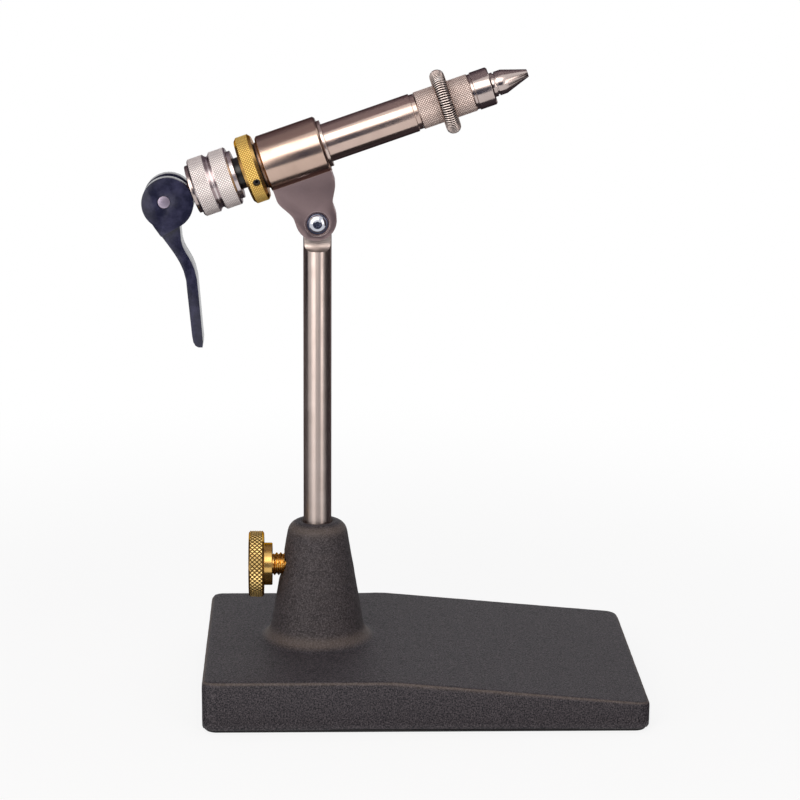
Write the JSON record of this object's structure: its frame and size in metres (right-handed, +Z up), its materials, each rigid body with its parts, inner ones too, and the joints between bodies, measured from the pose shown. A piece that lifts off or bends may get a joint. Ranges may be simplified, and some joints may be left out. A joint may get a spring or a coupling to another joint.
{
  "type": "fly tying vise",
  "caption": "Pedestal fly tying vise: sloped heavy base, clamped stem, and a tilting, turning head whose cam lever closes a split collet jaw.",
  "frame": {"origin": "on the stem's axis, at the underside of the base pad", "axes": "+X towards the jaws along the base, +Y away from the side that the thumb lever shows, +Z up along the stem"},
  "size_m": [0.1685, 0.1, 0.2144],
  "materials": {
    "wrinkle_coat": "wrinkle powder coat",
    "pad_rubber": "matt",
    "brass": "turned and knurled",
    "nylon": "plain",
    "stainless_stem": "turned and polished",
    "stainless_head": "satin",
    "knurled_steel": "diamond knurl",
    "bronze": "sintered bronze",
    "chrome": "bright",
    "bright_steel": "polished",
    "spring_nickel": "nickel plated wire",
    "black_nylon": "matt",
    "black_steel": "black oxide",
    "knob_aluminium": "fine diamond knurl",
    "black_anodised": "black anodised, glossy"
  },
  "bodies": {
    "base": {"base_casting": "wrinkle_coat", "base_pad": "pad_rubber"},
    "screw_tip": {"screw_tip": "nylon"},
    "thumbscrew": {"thumbscrew": "brass"},
    "glide": {"stem_glide": "nylon"},
    "stem": {"stem": "stainless_stem"},
    "head": {"head_housing": "stainless_head", "rear_bushing": "bronze", "front_bushing": "bronze", "pivot_screw": "chrome", "pivot_washers": "nylon"},
    "spindle": {"spindle_tube": "stainless_head", "knurled_sleeve": "knurled_steel", "nose_collar": "bright_steel", "material_spring": "spring_nickel", "friction_washer": "black_nylon", "neck_seal": "black_nylon"},
    "tension_ring": {"tension_ring": "brass", "ring_screw": "black_steel"},
    "thrust_washer": {"thrust_washer": "bright_steel"},
    "adjusting_knob": {"adjusting_knob": "knob_aluminium"},
    "drawbar": {"drawbar": "stainless_head", "cam_pin": "bright_steel", "return_spring": "spring_nickel"},
    "cam_lever": {"cam_lever": "black_anodised"},
    "near_jaw": {"near_jaw": "bright_steel", "jaw_spring": "spring_nickel"},
    "far_jaw": {"far_jaw": "bright_steel"}
  },
  "joints": [
    {"name": "screw_tip_slide", "type": "slide", "parent": "base", "child": "screw_tip", "axis": [-1, 0, 0], "range_m": [0, 0.00142]},
    {"name": "thumbscrew_turn", "type": "hinge", "parent": "screw_tip", "child": "thumbscrew", "pos_m": [0, 0, 0.0435], "axis": [-1, 0, 0], "range_deg": [0, 360]},
    {"name": "stem_height", "type": "slide", "parent": "base", "child": "glide", "axis": [0, 0, 1], "range_m": [0, 0.025]},
    {"name": "stem_swivel", "type": "hinge", "parent": "glide", "child": "stem", "pos_m": [0, 0, 0.0146], "axis": [0, 0, 1], "continuous": true},
    {"name": "head_tilt", "type": "hinge", "parent": "stem", "child": "head", "pos_m": [0, 0, 0.1627], "axis": [0, -1, 0], "range_deg": [-35, 30]},
    {"name": "head_rotation", "type": "hinge", "parent": "head", "child": "spindle", "pos_m": [-0.00797, 0, 0.18534], "axis": [0.9432, 0, 0.3322], "continuous": true},
    {"name": "tension_ring_turn", "type": "hinge", "parent": "spindle", "child": "tension_ring", "pos_m": [-0.01898, 0, 0.18146], "axis": [-0.9432, 0, -0.3322], "range_deg": [0, 90]},
    {"name": "knob_advance", "type": "slide", "parent": "spindle", "child": "thrust_washer", "axis": [0.9432, 0, 0.3322], "range_m": [0, 0.00081]},
    {"name": "knob_turn", "type": "hinge", "parent": "thrust_washer", "child": "adjusting_knob", "pos_m": [-0.04039, 0, 0.17392], "axis": [0.9432, 0, 0.3322], "range_deg": [0, 360]},
    {"name": "drawbar_slide", "type": "slide", "parent": "spindle", "child": "drawbar", "axis": [0.9432, 0, 0.3322], "range_m": [0, 0.00131], "deforming": ["return_spring"]},
    {"name": "cam_lever_turn", "type": "hinge", "parent": "drawbar", "child": "cam_lever", "pos_m": [-0.05077, 0, 0.17027], "axis": [0, 1, 0], "range_deg": [0, 80]},
    {"name": "near_jaw_open", "type": "hinge", "parent": "drawbar", "child": "near_jaw", "pos_m": [0.04411, 0, 0.20368], "axis": [0.3322, 0, -0.9432], "range_deg": [0, 1.01], "deforming": ["jaw_spring"]},
    {"name": "far_jaw_open", "type": "hinge", "parent": "drawbar", "child": "far_jaw", "pos_m": [0.04411, 0, 0.20368], "axis": [-0.3322, 0, 0.9432], "range_deg": [0, 1.01]}
  ],
  "couplings": [
    {"joint": "screw_tip_slide", "follows": "thumbscrew_turn", "m_per_rad": 0.00022457},
    {"joint": "knob_advance", "follows": "knob_turn", "m_per_rad": 0.00012732},
    {"joint": "drawbar_slide", "follows": "cam_lever_turn", "m_per_rad": 0.00093106},
    {"joint": "near_jaw_open", "follows": "cam_lever_turn", "ratio": 0.0125},
    {"joint": "far_jaw_open", "follows": "cam_lever_turn", "ratio": 0.0125}
  ]
}
